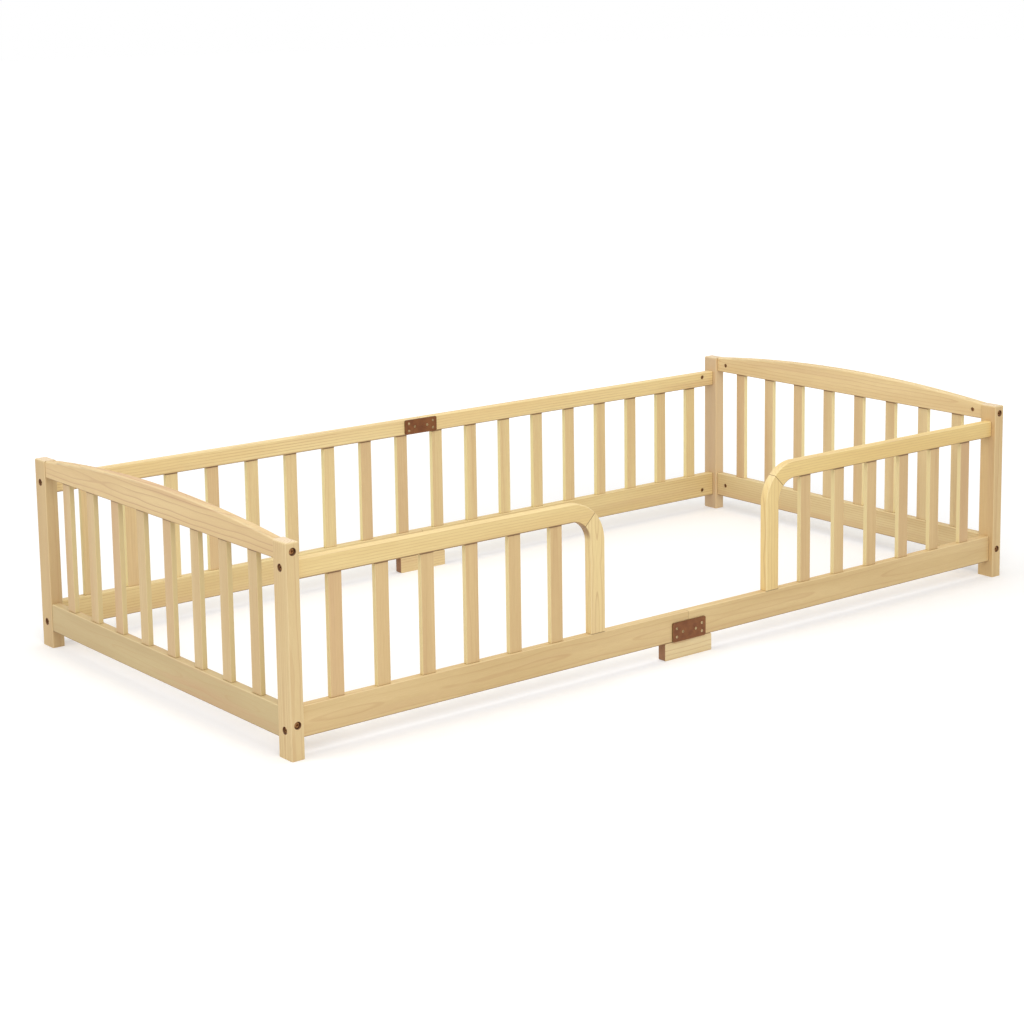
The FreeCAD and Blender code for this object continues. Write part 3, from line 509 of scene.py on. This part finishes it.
def lathe(profile, steps):
    """A solid turned about +Z from (radius, height) points, its first and last on the axis."""
    made = bmesh.new()
    points = [made.verts.new((r * MM, 0, z * MM)) for r, z in profile]
    lines = [made.edges.new(pair) for pair in zip(points, points[1:])]
    bmesh.ops.spin(made, geom=points + lines, axis=(0, 0, 1), cent=(0, 0, 0),
                   steps=steps, angle=2 * math.pi, use_merge=True)
    bmesh.ops.remove_doubles(made, verts=made.verts, dist=1e-6)
    bmesh.ops.recalc_face_normals(made, faces=made.faces)
    return made


def bar(x, y, z, middle):
    """A block of x by y by z millimetres round a middle point."""
    made = bmesh.new()
    bmesh.ops.create_cube(made, size=1.0)
    bmesh.ops.scale(made, vec=Vector((x, y, z)) * MM, verts=made.verts)
    bmesh.ops.translate(made, vec=Vector(middle) * MM, verts=made.verts)
    return made


def as_object(name, shape):
    made = bpy.data.objects.new(name, bpy.data.meshes.new(name))
    shape.to_mesh(made.data)
    shape.free()
    bpy.context.scene.collection.objects.link(made)
    return made


def cut_out(shape, tools):
    """The shape with the tools cut out of it, as a mesh."""
    body = as_object("blank", shape)
    held = [as_object("cutter", tool) for tool in tools]
    for tool in held:
        step = body.modifiers.new("cut", "BOOLEAN")
        step.operation, step.object, step.solver = "DIFFERENCE", tool, "EXACT"
    bpy.context.view_layer.update()
    done = bpy.data.meshes.new_from_object(
        body.evaluated_get(bpy.context.evaluated_depsgraph_get()))
    for thing in [body] + held:
        bpy.data.objects.remove(thing)
    return done


def spread(mesh, places, turns, into):
    """Copies of a fitting, its foot at each middle and its head along each direction."""
    for middle, direction in places:
        stand = Vector(direction).to_track_quat("Z", "Y").to_matrix().to_4x4()
        one = mesh.copy()
        one.transform(Matrix.Translation(Vector(middle) * MM) @ stand
                      @ Matrix.Rotation(turns.uniform(0, math.pi), 4, "Z"))
        into.from_mesh(one)
        bpy.data.meshes.remove(one)


def shown_for(node, shape, material):
    """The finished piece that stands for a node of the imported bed."""
    piece = as_object(node + "_made", shape)
    piece.data.materials.append(material)
    for polygon in piece.data.polygons:
        polygon.use_smooth = True
    piece.data.set_sharp_from_angle(angle=math.radians(30))
    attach(piece, "root")
    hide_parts(node)


def hexagon(radius, deep, top):
    """A six-sided cutter, deep millimetres down from just over its top."""
    made = bmesh.new()
    bmesh.ops.create_cone(made, cap_ends=True, segments=6, radius1=radius * MM,
                          radius2=radius * MM, depth=deep * MM)
    bmesh.ops.translate(made, vec=(0, 0, (top - deep / 2 + 0.01) * MM), verts=made.verts)
    return made


def bolt_mesh(reach):
    """A bolt from its seat: head of 12 by 4.5 with a six-sided recess, shank of 6."""
    return cut_out(
        lathe([(0, -reach), (2.4, -reach), (3.0, 0.8 - reach), (3.0, 0), (6.0, 0),
               (6.0, 3.5), (5.7, 4.2), (5.0, 4.5), (0, 4.5)], 32),
        [hexagon(2.6, 2.6, 4.5)],
    )


screw_mesh = cut_out(
    lathe([(0, -14), (0.5, -13), (1.5, -10.5), (1.5, 0), (3.0, 0), (3.0, 0.25),
           (2.75, 0.7), (2.1, 1.05), (1.2, 1.18), (0, 1.2)], 28),
    [bar(3.2, 0.75, 1.4, (0, 0, 1.1)), bar(0.75, 3.2, 1.4, (0, 0, 1.1))],
)
nut_mesh = cut_out(
    lathe([(0, 0), (4.6, 0), (5.0, 0.4), (5.0, 13.6), (4.6, 14), (0, 14)], 28),
    [bar(1.3, 11, 1.6, (0, 0, 14))],
)
# How deep the bolt heads' seats lie in the posts, how far the shanks reach from there,
# and how far from the bed's middle the nuts' feet stand.
SEAT, SIDE_REACH, END_REACH = 7, 67, 75
NUT_FOOT, NUT_FOOT_END = 473, 973
# Screws: how far out the outer and inner ones lie, how far apart two of them stand,
# and how high the lowest is on a plate and on the slimmer plate of the back's top rail.
SCREW_OUT, SCREW_IN, SCREW_APART = 35, 18, 17.5
SCREW_LOW, SCREW_LOW_SLIM = 10.5, 8.75
SIGNS = [(sx, sy) for sx in (-1, 1) for sy in (-1, 1)]
turns = random.Random(41)

bolts, nuts, screws = bmesh.new(), bmesh.new(), bmesh.new()
spread(bolt_mesh(SIDE_REACH), [((sx * (HALF_LONG - SEAT), sy * BOLT_IN_Y, z), (sx, 0, 0))
                               for sx, sy in SIGNS for z in SIDE_BOLTS], turns, bolts)
spread(bolt_mesh(END_REACH), [((sx * BOLT_IN_X, sy * (HALF_SHORT - SEAT), z), (0, sy, 0))
                              for sx, sy in SIGNS for z in END_BOLTS], turns, bolts)
spread(nut_mesh, [((sx * NUT_X, sy * NUT_FOOT, z), (0, -sy, 0))
                  for sx, sy in SIGNS for z in SIDE_BOLTS], turns, nuts)
spread(nut_mesh, [((sx * NUT_FOOT_END, sy * NUT_Y, z), (-sx, 0, 0))
                  for sx, sy in SIGNS for z in END_BOLTS], turns, nuts)
for plate, side in (("front_joint_plate", -1), ("back_top_joint_plate", -1),
                    ("back_bottom_joint_plate", 1)):
    low, high = (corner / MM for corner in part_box(plate))
    first = SCREW_LOW_SLIM if plate == "back_top_joint_plate" else SCREW_LOW
    spots = [(sign * out, first + up) for sign in (-1, 1)
             for out, up in ((SCREW_OUT, 0), (SCREW_OUT, SCREW_APART),
                             (SCREW_IN, SCREW_APART / 2))]
    face = low.y if side < 0 else high.y
    spread(screw_mesh, [((x, face, low.z + z), (0, side, 0)) for x, z in spots], turns, screws)

shown_for("rail_bolts", bolts, plated("bolt_brass", (176, 130, 84), (108, 70, 42)))
shown_for("barrel_nuts", nuts, plated("nut_bronze", (160, 118, 82), (104, 72, 46), shine=0.5))
shown_for("plate_screws", screws, plated("screw_plated", (216, 194, 150), (146, 122, 86)))


# -------------------------------------------------------- floor, light, camera

WHITE = (1, 1, 1, 1)
FLOOR_HALF, FLOOR_BELOW = 40, 0.0002
SEEN_BY = ("Is Camera Ray", "Is Glossy Ray", "Is Transmission Ray")


def grey(level):
    return (level, level, level, 1)


def backdrop_share(finish):
    """1 for the rays that show the backdrop, 0 for those that light the bed."""
    rays = finish.node("ShaderNodeLightPath").socket.node
    share = Value(finish, rays.outputs[SEEN_BY[0]])
    for kind in SEEN_BY[1:]:
        share = share.most(Value(finish, rays.outputs[kind]))
    return share


floor_mesh = bmesh.new()
bmesh.ops.create_grid(floor_mesh, x_segments=1, y_segments=1, size=FLOOR_HALF)
floor = bpy.data.objects.new("studio_floor", bpy.data.meshes.new("studio_floor"))
floor_mesh.to_mesh(floor.data)
floor_mesh.free()
bpy.context.scene.collection.objects.link(floor)
floor.location.z = -FLOOR_BELOW

paper = Finish.named("studio_white")
matte = paper.node("ShaderNodeBsdfDiffuse", None, {"Color": grey(0.82)})
catch = paper.node("ShaderNodeBsdfDiffuse", None, {"Color": grey(0.9)})
# The lamps fade with distance, so the floor's own white grows away from the bed. Near
# the bed it is weak and leaves the shadow.
away = paper.node("ShaderNodeVectorMath", {"operation": "LENGTH"},
                  [paper.node("ShaderNodeTexCoord", out="Object")], out="Value")
weak, strong = (paper.node("ShaderNodeEmission", None, {"Color": WHITE, "Strength": strength})
                for strength in (0.15, 0.5))
glow = paper.node("ShaderNodeMixShader", None, [away.eased(1.0, 3.5), weak, strong])
lit = paper.node("ShaderNodeAddShader", None, [catch, glow])
paper.end(paper.node("ShaderNodeMixShader", None, [backdrop_share(paper), matte, lit]).socket)
floor.data.materials.append(paper.owner)

sky = Finish(bpy.data.worlds.new("studio"))
bpy.context.scene.world = sky.owner
soft, plain = (sky.node("ShaderNodeBackground", None, [WHITE, strength])
               for strength in (0.63, 1.0))
sky.end(sky.node("ShaderNodeMixShader", None, [backdrop_share(sky), soft, plain]).socket,
        "ShaderNodeOutputWorld")


def panel_light(name, place, size, power):
    """A round lamp that points at the middle of the bed."""
    lamp = bpy.data.lights.new(name, "AREA")
    lamp.shape, lamp.size, lamp.energy = "DISK", size, power
    held = bpy.data.objects.new(name, lamp)
    bpy.context.scene.collection.objects.link(held)
    held.location = place
    held.rotation_euler = (AIM - Vector(place)).to_track_quat("-Z", "Y").to_euler()


AIM = Vector((0, 0, 0.2))
panel_light("key", (-1.6, -3.2, 3.6), 2.6, 71)
panel_light("fill", (-3.4, 0.6, 2.2), 2.0, 22)
panel_light("top", (0.3, 0.2, 4.2), 3.0, 41)

# The camera: its focal length and the middle of its picture in pixels of a square
# picture, its place, and its turn, downward tilt and roll in radians.
PICTURE, SENSOR = 1024, 36
FOCUS, ACROSS, DOWN = 2226.64, 532.24, 359.97
STAND, TURN, TILT, ROLL = (-3.03212, -3.76388, 1.36916), -0.6744, 0.1651, -0.0128
camera = bpy.data.objects.new("camera", bpy.data.cameras.new("camera"))
bpy.context.scene.collection.objects.link(camera)
bpy.context.scene.camera = camera
camera.matrix_world = (
    Matrix.Translation(STAND)
    @ Matrix.Rotation(TURN, 4, "Z")
    @ Matrix.Rotation(math.pi / 2 - TILT, 4, "X")
    @ Matrix.Rotation(ROLL, 4, "Z")
)
camera.data.sensor_width = SENSOR
camera.data.lens = SENSOR * FOCUS / PICTURE
camera.data.shift_x = (PICTURE / 2 - ACROSS) / PICTURE
camera.data.shift_y = (DOWN - PICTURE / 2) / PICTURE
camera.data.clip_end = 200

bpy.context.scene.view_settings.view_transform = "Standard"
